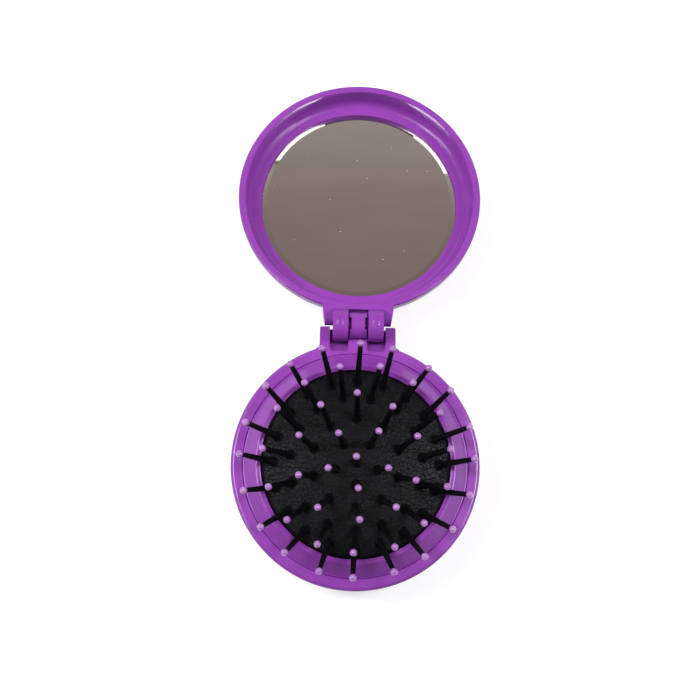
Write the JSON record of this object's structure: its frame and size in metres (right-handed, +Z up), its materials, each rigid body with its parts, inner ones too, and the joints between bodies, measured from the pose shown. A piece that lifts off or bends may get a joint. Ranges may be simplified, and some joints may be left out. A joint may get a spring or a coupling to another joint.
{
  "type": "folding hairbrush with mirror",
  "caption": "Round folding pocket hairbrush, laid open: sliding pin cushion in a round base, hinged lid with a recessed round mirror",
  "frame": {"origin": "centre of the base's foot ring, on the plane that the brush stands on", "axes": "+Z up out of the table, +Y from the base toward the hinge and the opened lid, +X along the hinge axis"},
  "size_m": [0.066, 0.1394, 0.0364],
  "materials": {
    "shell_plastic": "glossy moulded plastic",
    "cushion_rubber": "matte",
    "pin_plastic": "satin",
    "tip_plastic": "glossy",
    "mirror_face": "polished",
    "tape": "matte"
  },
  "bodies": {
    "base": {"base_shell": "shell_plastic"},
    "carriage": {"pad_frame": "shell_plastic", "cushion_pad": "cushion_rubber", "push_plate": "shell_plastic", "pin_centre": "pin_plastic", "pins_ring_1": "pin_plastic", "pins_ring_2": "pin_plastic", "pins_ring_3": "pin_plastic", "pins_ring_4": "pin_plastic", "tip_centre": "tip_plastic", "tips_ring_1": "tip_plastic", "tips_ring_2": "tip_plastic", "tips_ring_3": "tip_plastic", "tips_ring_4": "tip_plastic"},
    "lid": {"lid_shell": "shell_plastic", "mirror_glass": "mirror_face", "mirror_tape": "tape"}
  },
  "joints": [
    {"name": "lid_hinge", "type": "hinge", "parent": "base", "child": "lid", "pos_m": [0, 0.0369, 0.0176], "axis": [1, 0, 0], "range_deg": [0, 185.7]},
    {"name": "carriage_slide", "type": "slide", "parent": "base", "child": "carriage", "axis": [0, 0, -1], "range_m": [0, 0.01235]}
  ],
  "couplings": [
    {"joint": "carriage_slide", "follows": "lid_hinge", "m_per_rad": 0.00381}
  ]
}
